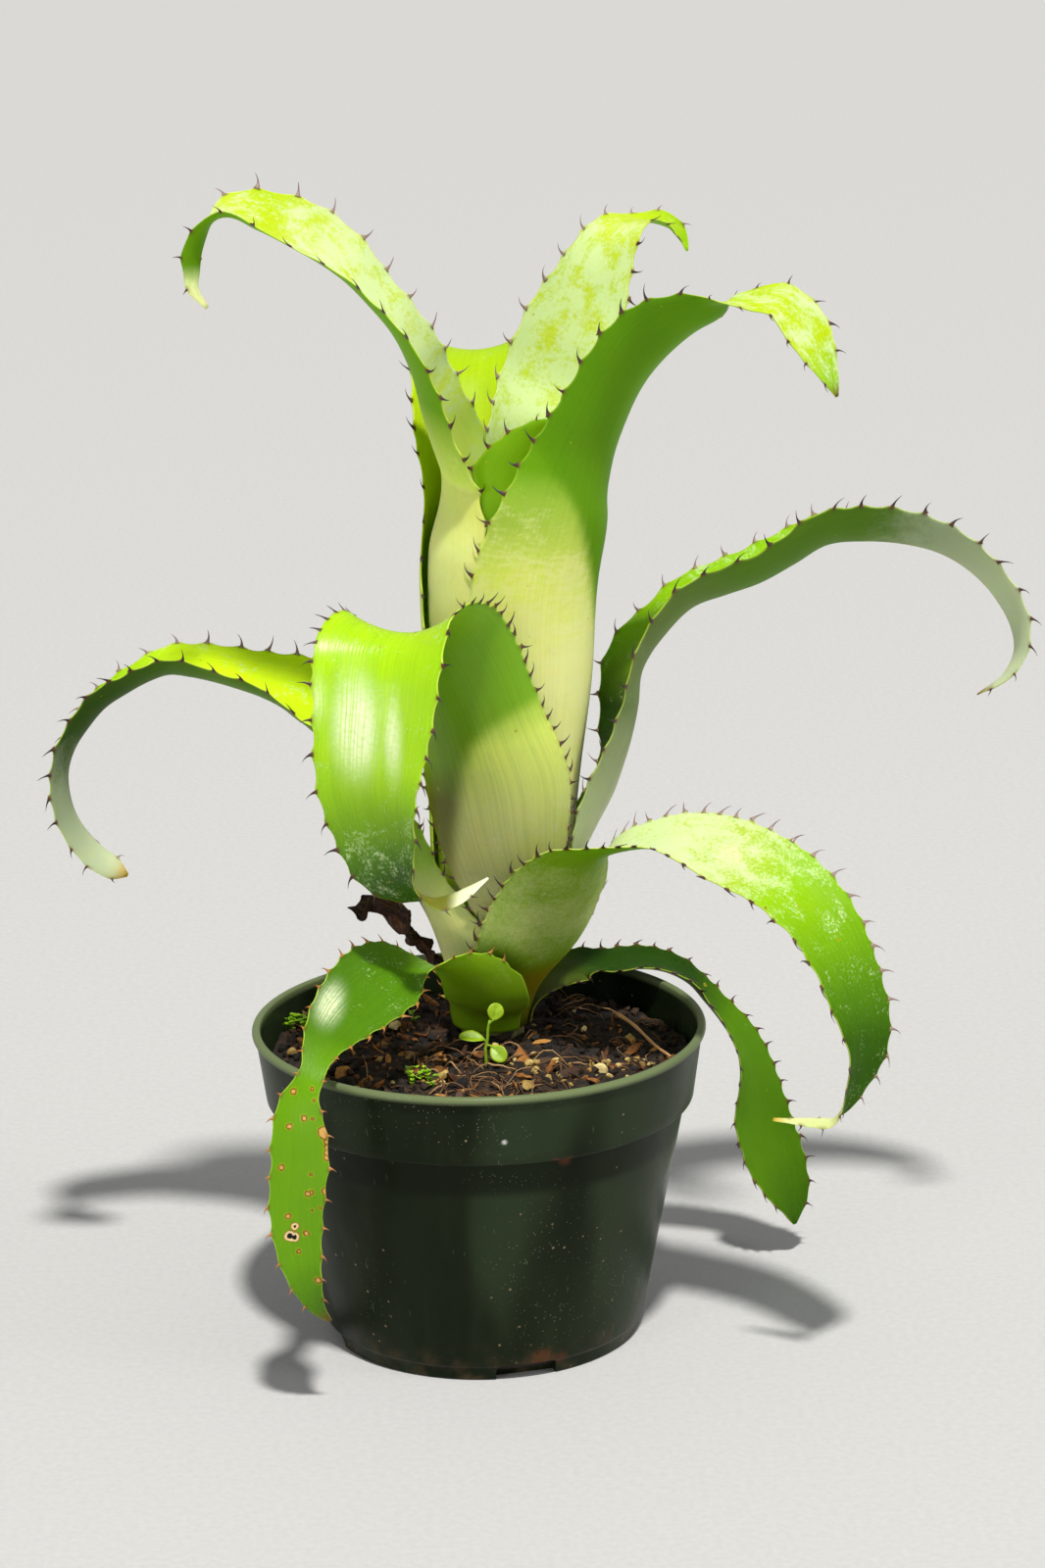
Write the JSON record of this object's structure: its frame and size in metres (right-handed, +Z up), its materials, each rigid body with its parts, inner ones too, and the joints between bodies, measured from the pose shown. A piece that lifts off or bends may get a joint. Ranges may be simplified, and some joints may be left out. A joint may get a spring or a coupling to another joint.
{
  "type": "potted bromeliad",
  "caption": "Potted bromeliad: spiny-edged strap leaves nested into an upright tube, arching out and curling at their tips, in potting mix in a squat green nursery pot.",
  "frame": {"origin": "middle of the pot's underside, on the surface it stands on", "axes": "+Z up along the pot's middle; -Y is the front, where the big arched leaf hangs; +X is to the viewer's right"},
  "size_m": [0.3442, 0.2028, 0.3984],
  "materials": {
    "pot": "dark olive green moulded plastic with a soft sheen",
    "soil": "bark and fibre potting mix, rough",
    "stem": "pale green living stem",
    "seedling": "soft young green leaf",
    "leaf_young": "glossy young leaf",
    "leaf_pale": "lime green leaf with pale mottling",
    "leaf_right": "leaf green with a pale sheath",
    "leaf_waxy": "green leaf with a waxy grey bloom under it",
    "leaf_front": "glossy lime green leaf",
    "leaf_low": "glossy mid green older leaf",
    "dried": "dry brown crumpled leaf"
  },
  "bodies": {
    "root": {"pot": "pot", "soil": "soil", "stem": "stem", "seedling": "seedling", "leaf_heart": "leaf_young", "leaf_top_back": "leaf_pale", "leaf_top_left": "leaf_pale", "leaf_top_right": "leaf_right", "leaf_back": "leaf_right", "leaf_right": "leaf_waxy", "leaf_front": "leaf_front", "leaf_left": "leaf_waxy", "leaf_low_right": "leaf_low", "leaf_low_back": "leaf_low", "leaf_low_left": "leaf_low", "leaf_dried": "dried"}
  },
  "joints": []
}
